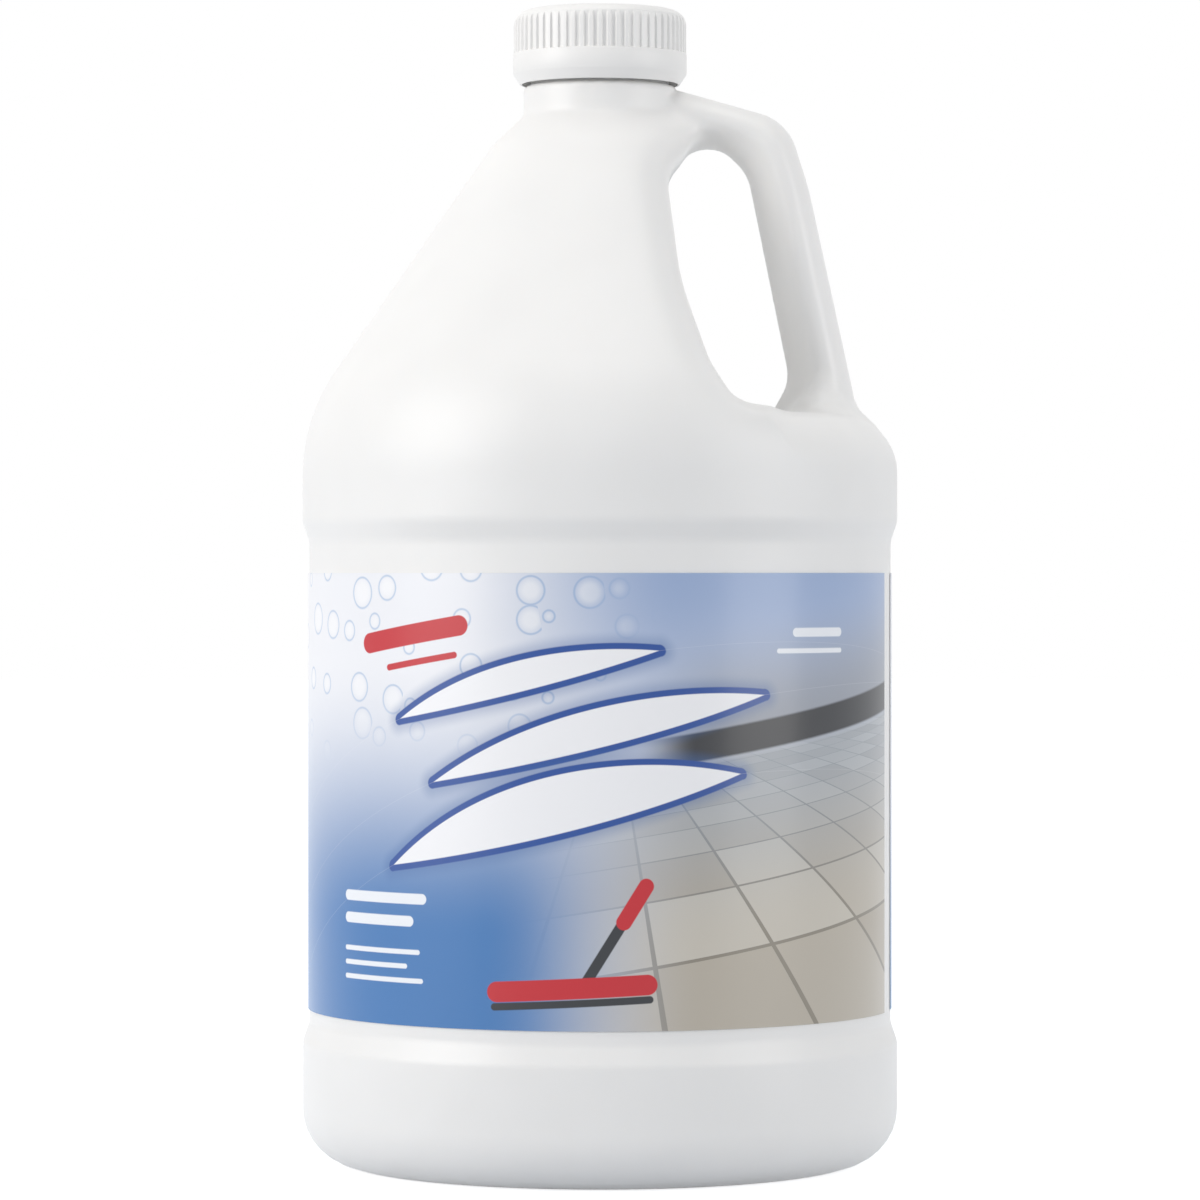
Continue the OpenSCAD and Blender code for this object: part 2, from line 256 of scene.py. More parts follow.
class Table:
    """Values on a square grid of (x, z) places, read between the places."""
    def __init__(self, low, high, spacing, work_out):
        self.low, self.spacing = low, spacing
        axes = [np.arange(low[i], high[i] + spacing, spacing) for i in (0, 1)]
        self.values = work_out(*np.meshgrid(*axes, indexing="ij"))

    def at(self, x, z):
        sx = np.clip((x - self.low[0]) / self.spacing, 0, self.values.shape[0] - 1.001)
        sz = np.clip((z - self.low[1]) / self.spacing, 0, self.values.shape[1] - 1.001)
        i, k = sx.astype(int), sz.astype(int)
        u, v = sx - i, sz - k
        t = self.values
        return ((1 - u) * ((1 - v) * t[i, k] + v * t[i, k + 1])
                + u * ((1 - v) * t[i + 1, k] + v * t[i + 1, k + 1]))


table_spacing = 0.5


def signed_table(line, outline, low, high):
    """Distance to the line, negative inside the outline."""
    return Table(low, high, table_spacing, lambda x, z:
        np.where(inside(outline, x, z), -1, 1) * distance_to(line, x, z)[0])


# %% Draw the finger gap and the grip, in the plane between the mould's halves
shelf_z = 190.0
shelf_r = 14.5
gap_x = 17.4
gap_top_z = 258.2
gap_bottom_x = body_r - 34.2
gap_corners = [
    [gap_bottom_x + 2.5, shelf_z - 0.7 * shelf_r, 0],
    [gap_bottom_x, shelf_z - 0.5, 1],
    [gap_bottom_x - 7.6, shelf_z + 1, 10],
    [gap_bottom_x - 14.6, shelf_z + 12.2, 20],
    [gap_x + 2.6, gap_top_z - 35.6, 60],
    [gap_x - 0.7, gap_top_z - 7.3, 8],
    [gap_x + 6.5, gap_top_z - 0.4, 6],
    [gap_x + 46.5, gap_top_z + 19.6, 0]]

grip_x, grip_z, grip_r, grip_w = 47.8, 265.1, 13.0, 14.8
arm_drop = 1.0
arch_drop = 6.6
foot_x = body_r - 10.4
haunch = [grip_x + 5.4, grip_z - 17.1]
lean = (foot_x - haunch[0]) / (haunch[1] - shelf_z)
grip_out_corners = [
    [neck_r - 7, ledge_z - arm_drop, 0],
    [neck_r + 0.5, ledge_z - arm_drop, 6],
    [grip_x, grip_z, grip_r],
    [haunch[0], haunch[1], 60],
    [foot_x, shelf_z + 2.3, 8],
    [foot_x + 5.6, shelf_z - 3, 10],
    [foot_x + 9, shelf_z - 8.9, 0]]
grip_in_corners = [
    [gap_x - 3, gap_top_z - 20, 0],
    [gap_x - 0.3, gap_top_z - arch_drop - 0.5, 8],
    [gap_x + 6.5, gap_top_z - 0.2, 8],
    [gap_x + 13.8, gap_top_z - 0.2, 8],
    [haunch[0] + (haunch[1] - gap_top_z + arch_drop) * lean - grip_w, gap_top_z - arch_drop, 12],
    [foot_x - grip_w - 2.2, shelf_z + 9, 10],
    [gap_bottom_x - 0.5, shelf_z - 4, 0]]
shelf_corners = [[body_r, shelf_z - 2 * shelf_r, 0], [body_r, shelf_z, shelf_r], [0, shelf_z, 0]]
print("the grip leans", round(math.degrees(math.atan(lean)), 1), "degrees outwards to its foot")

# %% Make the tables
far = 300.0
gap_line, shelf_line = rounded(gap_corners), rounded(shelf_corners)
grip_out, grip_in = rounded(grip_out_corners), rounded(grip_in_corners)
low_xz, high_xz = (0.0, 155.0), (82.0, 292.0)
around_shelf = [[0, 0], [body_r, 0]]
around_gap = [[far, gap_line[-1][1]], [far, far], [-far, far], [-far, 0], [gap_line[0][0], 0]]
beyond_grip = [[grip_out[-1][0], 0], [far, 0], [far, far], [grip_out[0][0], far]]
within_grip = [[-far, grip_in[-1][1]], [-far, grip_in[0][1]]]
body_table = signed_table(body_line, body_line, (0.0, -4.0), high_xz)
shelf_table = signed_table(shelf_line, np.vstack([shelf_line, around_shelf]), low_xz, high_xz)
gap_table = signed_table(gap_line, np.vstack([gap_line, around_gap]), low_xz, high_xz)
out_table = signed_table(grip_out, np.vstack([grip_out, beyond_grip]), low_xz, high_xz)
in_table = signed_table(grip_in, np.vstack([grip_in, within_grip]), low_xz, high_xz)
share_table = Table(low_xz, high_xz, table_spacing, lambda x, z:
    (distance_to(grip_out, x, z)[1] + distance_to(grip_in, x, z)[1]) / 2)
print("tables:", body_table.values.shape, gap_table.values.shape)

# %% [markdown]
# ## The whole bottle as one field
# The body is turned about the axis, so its distance is read at a point's radius. The finger gap
# cuts it down to the shelf, with a rounded edge. The grip is a teardrop across the parting plane:
# thin at the gap, where the fingers close, and widest towards its outer side.

# %% Define the fields
def smooth_min(a, b, size):
    """The lower of two distances, with a fillet where they are nearly equal."""
    near = np.maximum(size - np.abs(a - b), 0) / np.maximum(size, 1e-6)
    return np.minimum(a, b) - near * near * size / 4


# Half of the grip's thickness across the parting plane, at shares of the way from arm to foot.
half_at = [0, 0.32, 0.86, 1], [9.0, 12.5, 12.5, 16.5]
# With this power the spread is at most 1 / 5.38, so there the grip has its whole thickness.
teardrop_power, teardrop_scale = 1.5, 5.38
gradient_step, least_slope = 0.2, 4.0
grip_start_x, grip_end_z = neck_r - 6.5, shelf_z - 7

gap_edge, edge_rise = 9.0, 6.0
shelf_fillet, least_fillet = 6.0, 0.5
# Each is a row of places and a row of sizes or shares there.
arm_fillet_at = [shelf_z + 24, shelf_z + 40, neck_z - 4, ledge_z - 3], [0, 8.0, 8.0, 0]
foot_fillet_at = [shelf_z - 6, shelf_z + 3, shelf_z + 10, shelf_z + 26], [0, 14.0, 14.0, 0]
foot_reach_at = [43, 52, 56, 67], [0, 1, 1, 0]
plain_half, plain_blend = 3, 9


def teardrop(x, y, z):
    """Negative inside the grip, but not a true distance."""
    inner, outer = in_table.at(x, z), out_table.at(x, z)
    w = inner / np.maximum(np.abs(inner) + np.abs(outer), 1e-3)
    spread = np.sign(w) * np.abs(w) ** teardrop_power * np.where(outer > 0, 1 - w, -np.abs(1 - w))
    return y * y - teardrop_scale * np.interp(share_table.at(x, z), *half_at) ** 2 * spread


def fillet_size(x, y, z):
    """Wide at the foot, narrower at the arm. Near the parting plane the drawn radii do its work."""
    arm = np.interp(z, *arm_fillet_at)
    foot = np.interp(z, *foot_fillet_at) * np.interp(x, *foot_reach_at)
    return least_fillet + (arm + foot) * np.clip((np.abs(y) - plain_half) / plain_blend, 0, 1)


def grip_field(x, y, z):
    """Distance to the grip, made true by its own slope."""
    here = teardrop(x, y, z)
    d = gradient_step
    ahead = teardrop(x + d, y, z), teardrop(x, y + d, z), teardrop(x, y, z + d)
    slope = np.sqrt(sum(((there - here) / d) ** 2 for there in ahead))
    distance = here / np.maximum(slope, least_slope)
    return np.maximum(distance, np.maximum(grip_start_x - x, grip_end_z - z))


def bottle_field(x, y, z):
    """Distance to the outside of the bottle, negative inside the plastic's outer skin."""
    radius = np.hypot(x, y)
    body = body_table.at(radius, z)
    gap = np.where(x > 0, gap_table.at(x, z), -far)
    shelf = shelf_table.at(radius, z)
    cut = smooth_min(gap, shelf, shelf_fillet)
    edge = np.clip(shelf / edge_rise, 0, 1)
    edge = edge * edge * (3 - 2 * edge)
    near = np.maximum(gap_edge - np.abs(body - gap), 0) / gap_edge
    body_less_gap = np.maximum(body, cut) + edge * near * near * gap_edge / 4
    return smooth_min(body_less_gap, grip_field(x, y, z), fillet_size(x, y, z))


probe = [np.array(v, float) for v in ([0, 30, 60], [0, 0, 0], [230, 230, 230])]
print("distance at the axis, in the gap and beyond the grip:", bottle_field(*probe).round(1))

# %% [markdown]
# ## From field to mesh
# A surface net puts one point in each small cube that the surface passes through, and one quad
# across each grid edge that it cuts. A few Newton steps then pull every point onto the surface, so
# that highlights run as smoothly as the formula does.

# %% Define the surface net
def surface_net(field, low, high, step):
    """Points and quads of the field's zero surface. The quads face the side where it is positive."""
    axes = [np.arange(low[i], high[i] + step / 2, step) for i in range(3)]
    values = field(*np.meshgrid(*axes, indexing="ij"))
    total = np.zeros([n - 1 for n in values.shape] + [3])
    count = np.zeros(total.shape[:3])
    edges = []
    for axis in range(3):
        first = [slice(None)] * 3
        second = [slice(None)] * 3
        first[axis], second[axis] = slice(0, -1), slice(1, None)
        a, b = values[tuple(first)], values[tuple(second)]
        where = np.argwhere((a < 0) != (b < 0))
        a, b = a[tuple(where.T)], b[tuple(where.T)]
        spot = where.astype(float)
        spot[:, axis] += a / (a - b)
        u, v = (axis + 1) % 3, (axis + 2) % 3
        around = []
        for du, dv in ((-1, -1), (0, -1), (0, 0), (-1, 0)):
            cell = where.copy()
            cell[:, u] += du
            cell[:, v] += dv
            around.append(cell)
            real = ((cell >= 0) & (cell < total.shape[:3])).all(axis=1)
            np.add.at(total, tuple(cell[real].T), spot[real])
            np.add.at(count, tuple(cell[real].T), 1)
        edges.append((np.stack(around, axis=1), a < 0))
    number = np.full(count.shape, -1)
    number[count > 0] = np.arange((count > 0).sum())
    points = total[count > 0] / count[count > 0][:, None] * step + np.array(low)
    quads = []
    for around, outwards in edges:
        real = ((around >= 0) & (around < count.shape)).all(axis=(1, 2))
        cells = around[real]
        quad = number[cells[..., 0], cells[..., 1], cells[..., 2]]
        flip = ~outwards[real]
        quad[flip] = quad[flip][:, ::-1]
        quads.append(quad)
    return points, np.vstack(quads)


def settle(points, field, rounds=4, d=0.05):
    """Moves the points onto the field's zero surface."""
    for _ in range(rounds):
        x, y, z = points.T
        here = field(x, y, z)
        slope = np.stack([field(x + d, y, z) - field(x - d, y, z),
            field(x, y + d, z) - field(x, y - d, z),
            field(x, y, z + d) - field(x, y, z - d)], axis=1) / (2 * d)
        steepness = np.maximum((slope ** 2).sum(axis=1), 0.25)
        points = points - slope * np.clip(here / steepness, -1, 1)[:, None]
    return points


# %% Net the shoulder, the grip and the neck
net_low, net_high = 168.0, 277.5
outer_step, inner_step = 1.2, 2.8
bore_flare, flare_z = 1.2, neck_z - 4


def netted(field, step):
    """The net of a field over the height of the shoulder, the grip and the neck."""
    reach = body_r + 2 * step
    points, quads = surface_net(field, (-reach, -reach, net_low), (reach, reach, net_high), step)
    return settle(points, field), quads


outer_points, outer_quads = netted(bottle_field, outer_step)
print("outer net:", len(outer_points), "points,", len(outer_quads), "quads")


def inside_field(x, y, z):
    """Zero on the inner side of the wall, negative in the hollow."""
    radius = np.hypot(x, y)
    bore = radius - bore_r - bore_flare * np.maximum(flare_z - z, 0)
    return np.maximum(bottle_field(x, y, z) + wall, bore)


inner_points, inner_quads = netted(inside_field, inner_step)
print("inner net:", len(inner_points), "points,", len(inner_quads), "quads")

# %% [markdown]
# ## The plain turned parts
# Below the shoulder the body is plainly turned, and so is the lip. There the net's open edge is
# carried on by rings at the same angles, so the whole bottle is one closed skin.

# %% Define the mesh builder
class Skin:
    """Collects points and faces, in millimetres."""
    def __init__(self):
        self.points, self.faces = [], []

    def extend(self, points, faces):
        start = len(self.points)
        self.points += [tuple(p) for p in points]
        self.faces += [tuple(start + i for i in face) for face in faces]
        return start

    def edge_loop(self, start, count, height, tolerance):
        """Numbers of the open edge's points near a height, in order round the axis."""
        near = [i for i in range(start, start + count)
            if abs(self.points[i][2] - height) < tolerance]
        return sorted(near, key=lambda i: math.atan2(self.points[i][1], self.points[i][0]))

    def rings(self, loop, line, outwards_down):
        """Carries a loop on along a turned line of (radius, height), and returns the last loop."""
        angles = [math.atan2(self.points[i][1], self.points[i][0]) for i in loop]
        for radius, height in line:
            ring = self.extend([(radius * math.cos(a), radius * math.sin(a), height)
                for a in angles], [])
            fresh = list(range(ring, ring + len(angles)))
            for i in range(len(angles)):
                k = (i + 1) % len(angles)
                face = (loop[i], fresh[i], fresh[k], loop[k])
                self.faces.append(face if outwards_down else face[::-1])
            loop = fresh
        return loop

    def cap(self, loop, height, outwards_down):
        """Closes a loop with a point on the axis."""
        centre = self.extend([(0, 0, height)], [])
        for i in range(len(loop)):
            face = (loop[i], centre, loop[(i + 1) % len(loop)])
            self.faces.append(face if outwards_down else face[::-1])

    def mesh(self, name, sharp_degrees=None):
        """A smooth-shaded Blender mesh in metres, with edges sharp above an angle if one is given."""
        mesh = bpy.data.meshes.new(name)
        mesh.from_pydata([[c * MM for c in p] for p in self.points], [], self.faces)
        mesh.shade_smooth()
        if sharp_degrees:
            mesh.set_sharp_from_angle(angle=math.radians(sharp_degrees))
        mesh.update()
        return mesh


def new_object(name, mesh, material):
    thing = bpy.data.objects.new(name, mesh)
    thing.data.materials.append(material)
    bpy.context.scene.collection.objects.link(thing)
    return thing


def count_triangles(mesh):
    return sum(len(p.vertices) - 2 for p in mesh.polygons)


# %% Close the bottle's outside
outer_slack, inner_slack = 0.4, 0.8


def net_base(step):
    """Height of the net's lowest points."""
    return net_low + step / 2


def net_top(step):
    """Height of the net's highest points."""
    return net_low + step * (math.floor((net_high - net_low) / step + 0.5) - 0.5)


def below_net(line):
    """The part of a turned line that is below the net, from the top down, without its pole."""
    return [p for p in line[::-1] if p[1] < net_low - 1 and p[0] > 1]


skin_of_bottle = Skin()
outer_start = skin_of_bottle.extend(outer_points, outer_quads)
low_loop = skin_of_bottle.edge_loop(outer_start, len(outer_points), net_base(outer_step), outer_slack)
outside_line = rounded(body_corners, 8) - [visual_inset, 0]
last = skin_of_bottle.rings(low_loop, below_net(outside_line), True)
skin_of_bottle.cap(last, push_up_h, True)

top_loop = skin_of_bottle.edge_loop(outer_start, len(outer_points), net_top(outer_step), outer_slack)
lip_corners = [[root_r, ledge_z + 4, 0], [root_r, lip_z, 0.8], [bore_r, lip_z, 0.6],
    [bore_r, ledge_z + 6, 0]]
inner_lip = skin_of_bottle.rings(top_loop, rounded(lip_corners, 4)[1:], False)
print("open edges of the net:", len(low_loop), "and", len(top_loop), "points")


# %% Close the inside, and join it to the lip
def inset(line, d):
    """A line of points moved by d to its left."""
    ahead = np.gradient(line, axis=0)
    ahead /= np.maximum(np.linalg.norm(ahead, axis=1), 1e-9)[:, None]
    return line + d * np.stack([-ahead[:, 1], ahead[:, 0]], axis=1)


inner_start = skin_of_bottle.extend(inner_points, inner_quads[:, ::-1])
inner_low = skin_of_bottle.edge_loop(inner_start, len(inner_points), net_base(inner_step), inner_slack)
last = skin_of_bottle.rings(inner_low, below_net(inset(rounded(body_corners, 4), wall)), False)
skin_of_bottle.cap(last, push_up_h + wall, False)
inner_top = skin_of_bottle.edge_loop(inner_start, len(inner_points), net_top(inner_step), inner_slack)
print("inner edges:", len(inner_low), "and", len(inner_top), "points")


def zip_loops(skin, first, second):
    """Joins two loops round the axis, with different numbers of points, by triangles."""
    i = k = 0
    n, m = len(first), len(second)
    while i < n or k < m:
        if k >= m or (i < n and (i + 1) / n <= (k + 1) / m):
            skin.faces.append((first[i % n], second[k % m], first[(i + 1) % n]))
            i += 1
        else:
            skin.faces.append((first[i % n], second[k % m], second[(k + 1) % m]))
            k += 1


zip_loops(skin_of_bottle, inner_lip, inner_top)

# %% [markdown]
# ## The thread on the neck
# A thread is one ridge wound round the neck. It is a section swept along a helix, and it dies into
# the wall at both ends, as a moulder lets it, so that a cap finds its way on.

# %% Wind the thread
pitch = 4.233
thread_turn = math.radians(450)
thread_low = lip_z - 8.3
thread_section = [(-0.3, -1.2), (0.0, -1.2), (1.0, -0.6), (1.0, 0.6), (0.0, 1.2), (-0.3, 1.2)]
thread_steps = 150
thread_fade = math.radians(25)
thread_sunk = 0.15

turns = []
for step in range(thread_steps + 1):
    angle = thread_turn * step / thread_steps
    grow = min(1, angle / thread_fade, (thread_turn - angle) / thread_fade)
    height = thread_low + pitch * angle / math.tau
    for out, up in thread_section:
        radius = root_r + out * (crest_r - root_r) * (grow if out > 0 else 1)
        radius -= thread_sunk if out == 0 else 0
        turns.append((radius * math.cos(angle), radius * math.sin(angle), height + up))
size = len(thread_section)
faces = [(s * size + i, s * size + k, (s + 1) * size + k, (s + 1) * size + i)
    for s in range(thread_steps) for i, k in zip(range(size), [*range(1, size), 0])]
faces += [tuple(range(size))[::-1], tuple(thread_steps * size + i for i in range(size))]
skin_of_bottle.extend(turns, faces)

bottle_mesh = skin_of_bottle.mesh("bottle_skin")
bottle_mesh.validate()
print("bottle triangles:", count_triangles(bottle_mesh))

bottle = new_object("bottle_skin", bottle_mesh, hdpe)
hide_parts("bottle")
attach(bottle, "bottle")

# %% [markdown]
# ## Moulded polypropylene
# The cap is injection-moulded polypropylene: whiter and a little glossier than the bottle, with a
# spark-eroded fine grain on its side. The inner cap is left natural, a touch greyer, and the liner
# is foamed polyethylene, which looks soft and matt. One function makes all three, since they differ
# only in colour, gloss and grain.

# %% Make the cap's materials
cloud_mm, cloud_change = 12.0, 0.04


def moulded(name, colour, roughness, grain_mm, depth_mm):
    """A moulded plastic with a fine grain of a given size and depth."""
    material, tree = new_material(name)
    place = add(tree, "ShaderNodeTexCoord").outputs["Object"]
    grain = add(tree, "ShaderNodeTexNoise", {"Vector": place, "Scale": 1 / (grain_mm * MM),
        "Detail": 2.0})
    cloud = add(tree, "ShaderNodeTexNoise", {"Vector": place, "Scale": 1 / (cloud_mm * MM),
        "Detail": 1.0})
    base = linear(colour)
    darker = [c * (1 - cloud_change) for c in base[:3]] + [1]
    tone = add(tree, "ShaderNodeMix", {0: cloud, 6: darker, 7: base}, data_type="RGBA")
    gloss = add(tree, "ShaderNodeMapRange", {"Value": cloud, "To Min": roughness - cloud_change,
        "To Max": roughness + cloud_change})
    bump = add(tree, "ShaderNodeBump", {"Height": grain, "Strength": 0.3, "Distance": depth_mm * MM})
    skin = add(tree, "ShaderNodeBsdfPrincipled", {"Base Color": tone.outputs[2], "Roughness": gloss,
        "IOR": 1.49, "Normal": bump})
    add(tree, "ShaderNodeOutputMaterial", {"Surface": skin})
    return material


cap_plastic = moulded("moulded_polypropylene_white", "#f6f5f3", 0.38, 0.5, 0.02)
inner_plastic = moulded("moulded_polypropylene_natural_white", "#eeeeec", 0.34, 0.5, 0.02)
liner_foam = moulded("foamed_polyethylene_grey_white", "#dde1e4", 0.62, 0.8, 0.12)
for node_name, material in (("cap_inner", inner_plastic), ("cap_liner", liner_foam)):
    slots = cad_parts[node_name].data.materials
    slots.clear()
    slots.append(material)
    print(node_name, "is", material.name)

# %% [markdown]
# ## The outer cap
# Its shell is turned: a tapered hem, a smooth band, the wall at the bottom of the grooves and a
# rounded top. The ribs that a wet hand turns repeat sixty times, so Geometry Nodes make one rib and
# set it round a circle. On the real cap a rib follows the rounding of the top edge and dies there.

# %% Turn the shell of the cap
cap_low, cap_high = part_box("cap_outer")
cap_top = cap_high.z / MM
hem_z = cap_low.z / MM
band_r = cap_high.x / MM
hem_h, band_h, edge_r = 2.5, 5.3, 4.0
band_z = hem_z + hem_h
band_top = band_z + band_h
crest_out = band_r - 0.15
groove_r = crest_out - 0.6
cavity_r, snap_r, roof_r, roof_z = 20.7, 19.9, 17.0, cap_top - 1.2
pole_r = 0.5
edge_centre = cap_top - edge_r
groove_end = edge_centre + math.sqrt(edge_r ** 2 - (groove_r - crest_out + edge_r) ** 2)

edge_arc = [(crest_out - edge_r + edge_r * math.cos(a), edge_centre + edge_r * math.sin(a))
    for a in np.linspace(math.asin((groove_end - edge_centre) / edge_r), math.pi / 2, 12)]
outside = [(snap_r, hem_z), (band_r - 1.8, hem_z), (band_r - 0.2, band_z - 0.15),
    (band_r, band_z + 0.25), (band_r, band_top - 0.25), (band_r - 0.1, band_top - 0.08),
    (band_r - 0.3, band_top), (groove_r + 0.15, band_top + 0.02), (groove_r, band_top + 0.2),
    (groove_r, groove_end - 0.1)]
cavity = [(roof_r, roof_z), (cavity_r, roof_z - 0.8), (cavity_r, band_z + 1.0), (snap_r, band_z + 1.0)]
shell = Skin()
segments = 240
first = shell.extend([(pole_r * math.cos(a), pole_r * math.sin(a), cap_top)
    for a in np.linspace(0, math.tau, segments, endpoint=False)], [])
loop = list(range(first, first + segments))
shell.cap(loop, cap_top, False)
last = shell.rings(loop, edge_arc[::-1] + outside[::-1] + cavity[::-1] + [(pole_r, roof_z)], True)
shell.cap(last, roof_z, True)
cap_mesh = shell.mesh("cap_outer_shell", 35)
print("cap shell triangles:", count_triangles(cap_mesh), "groove ends at", round(groove_end, 2))

# %% Build the tree that makes the ribs
tree = bpy.data.node_groups.new("cap_ribs", "GeometryNodeTree")
tree.is_modifier = True
tree.interface.new_socket("Geometry", in_out="INPUT", socket_type="NodeSocketGeometry")
rib_sizes = {
    "Ribs": 60,
    "Groove radius": (groove_r - 0.2) * MM,
    "Rib depth": 0.8 * MM,
    "Foot width": 1.55 * MM,
    "Crest width": 0.8 * MM,
    "Foot height": (band_top - 0.2) * MM,
    "Top height": (groove_end + 0.25) * MM,
    "Edge radius": edge_r * MM,
    "Edge centre height": edge_centre * MM}
for name, value in rib_sizes.items():
    kind = "NodeSocketInt" if isinstance(value, int) else "NodeSocketFloat"
    tree.interface.new_socket(name, in_out="INPUT", socket_type=kind)
tree.interface.new_socket("Material", in_out="INPUT", socket_type="NodeSocketMaterial")
tree.interface.new_socket("Geometry", in_out="OUTPUT", socket_type="NodeSocketGeometry")
given = add(tree, "NodeGroupInput").outputs

foot = add(tree, "ShaderNodeCombineXYZ", {"Z": given["Foot height"]})
top = add(tree, "ShaderNodeCombineXYZ", {"Z": given["Top height"]})
upright = add(tree, "GeometryNodeCurvePrimitiveLine", {"Start": foot, "End": top})
stops = add(tree, "GeometryNodeResampleCurve", {"Curve": upright, "Count": 16})
section = add(tree, "GeometryNodeCurvePrimitiveQuadrilateral", {"Height": given["Rib depth"],
    "Bottom Width": given["Foot width"], "Top Width": given["Crest width"], "Offset": 0.0},
    mode="TRAPEZOID")
outwards = add(tree, "GeometryNodeTransform", {"Geometry": section, "Rotation": (0, 0, -math.pi / 2)})
bar = add(tree, "GeometryNodeCurveToMesh", {"Curve": stops, "Profile Curve": outwards,
    "Fill Caps": True})

half_depth = add(tree, "ShaderNodeMath", {0: given["Rib depth"], 1: 0.5}, operation="MULTIPLY")
middle_out = add(tree, "ShaderNodeMath", {0: given["Groove radius"], 1: half_depth}, operation="ADD")
height = add(tree, "ShaderNodeSeparateXYZ", {0: add(tree, "GeometryNodeInputPosition")}).outputs["Z"]
above = add(tree, "ShaderNodeMath", {0: height, 1: given["Edge centre height"]}, operation="SUBTRACT")
above = add(tree, "ShaderNodeMath", {0: above, 1: 0.0}, operation="MAXIMUM")
above_sq = add(tree, "ShaderNodeMath", {0: above, 1: 2.0}, operation="POWER")
edge_sq = add(tree, "ShaderNodeMath", {0: given["Edge radius"], 1: 2.0}, operation="POWER")
reach_sq = add(tree, "ShaderNodeMath", {0: edge_sq, 1: above_sq}, operation="SUBTRACT")
reach = add(tree, "ShaderNodeMath", {0: reach_sq}, operation="SQRT")
fall = add(tree, "ShaderNodeMath", {0: given["Edge radius"], 1: reach}, operation="SUBTRACT")
out = add(tree, "ShaderNodeMath", {0: middle_out, 1: fall}, operation="SUBTRACT")
shift = add(tree, "ShaderNodeCombineXYZ", {"X": out})
bent = add(tree, "GeometryNodeSetPosition", {"Geometry": bar, "Offset": shift})

dots = add(tree, "GeometryNodePoints", {"Count": given["Ribs"], "Position": (0, 0, 0)})
step_angle = add(tree, "ShaderNodeMath", {0: math.tau, 1: given["Ribs"]}, operation="DIVIDE")
number = add(tree, "GeometryNodeInputIndex")
turn = add(tree, "ShaderNodeMath", {0: number, 1: step_angle}, operation="MULTIPLY")
facing = add(tree, "ShaderNodeCombineXYZ", {"Z": turn})
ribs = add(tree, "GeometryNodeInstanceOnPoints", {"Points": dots, "Instance": bent, "Rotation": facing})
joined = add(tree, "GeometryNodeJoinGeometry", {"Geometry": given["Geometry"]})
tree.links.new(ribs.outputs[0], joined.inputs[0])
real = add(tree, "GeometryNodeRealizeInstances", {"Geometry": joined})
coated = add(tree, "GeometryNodeSetMaterial", {"Geometry": real, "Material": given["Material"]})
add(tree, "NodeGroupOutput", {"Geometry": coated})
print("rib tree:", len(tree.nodes), "nodes")


# %% Run the tree and keep a plain mesh
def made_plain(name, mesh, tree, sizes, material, sharp_degrees):
    """Runs a Geometry Nodes tree on a mesh and returns the result as a plain object."""
    carrier = new_object(name + "_carrier", mesh, material)
    modifier = carrier.modifiers.new("tree", "NODES")
    modifier.node_group = tree
    sockets = {s.name: s.identifier for s in tree.interface.items_tree if s.in_out == "INPUT"}
    for socket_name, value in sizes.items():
        modifier[sockets[socket_name]] = value
    modifier[sockets["Material"]] = material
    depsgraph = bpy.context.evaluated_depsgraph_get()
    result = bpy.data.meshes.new_from_object(carrier.evaluated_get(depsgraph))
    result.name = name
    carrier.modifiers.remove(modifier)
    bpy.data.objects.remove(carrier)
    result.shade_smooth()
    result.set_sharp_from_angle(angle=math.radians(sharp_degrees))
    result.materials.clear()
    return new_object(name, result, material)


cap = made_plain("cap_shell_ribbed", cap_mesh, tree, rib_sizes, cap_plastic, 35)
corners = np.array([v.co for v in cap.data.vertices]) / MM
print("cap:", corners.min(0).round(2), corners.max(0).round(2), count_triangles(cap.data), "triangles")
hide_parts("cap_outer")
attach(cap, "outer_cap")

# %% [markdown]
# ## Printed film labels
# The labels are coated polypropylene film, a fifth of a millimetre thick and stuck on the panel.
# The print sits under a clear coat, so it has a soft gloss of its own. The picture is drawn by
# nodes in millimetres on the label's own UV map: across from the middle of the label, and up.

# %% Wrap a film round the panel
columns = 172
film_finish = {"Roughness": 0.34, "IOR": 1.49, "Coat Weight": 0.25, "Coat Roughness": 0.18}


def film(name, node_name, middle_degrees, material):
    """A thin wrapped sheet in the place of a label's solid, with a UV map in millimetres."""
    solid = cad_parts[node_name]
    places = np.array([v.co for v in solid.data.vertices]) / MM
    radii = np.hypot(places[:, 0], places[:, 1])
    low, high = places[:, 2].min(), places[:, 2].max()
    turned = np.radians(middle_degrees)
    angles = np.arctan2(places[:, 1], places[:, 0]) - turned
    angles = (angles + math.pi) % math.tau - math.pi
    skin = Skin()
    sweep = np.linspace(angles.min(), angles.max(), columns + 1)
    for radius in (radii.max(), radii.min()):
        for height in (low, high):
            skin.extend([(radius * math.cos(turned + a), radius * math.sin(turned + a), height)
                for a in sweep], [])
    row = columns + 1
    starts = [0, row, 3 * row, 2 * row]
    for a, b in zip(starts, starts[1:] + starts[:1]):
        skin.faces += [(a + i, a + i + 1, b + i + 1, b + i) for i in range(columns)]
    skin.faces += [tuple(starts), tuple(a + columns for a in starts[::-1])]
    mesh = skin.mesh(name, 40)
    layer = mesh.uv_layers.new(name="print_mm")
    for loop in mesh.loops:
        place = np.array(mesh.vertices[loop.vertex_index].co) / MM
        angle = (math.atan2(place[1], place[0]) - turned + math.pi) % math.tau - math.pi
        layer.data[loop.index].uv = (angle * radii.max(), place[2] - low)
    label = new_object(name, mesh, material)
    print(name, "is", round((sweep[-1] - sweep[0]) * radii.max(), 1), "by", round(high - low, 1), "mm")
    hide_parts(node_name)
    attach(label, "bottle")


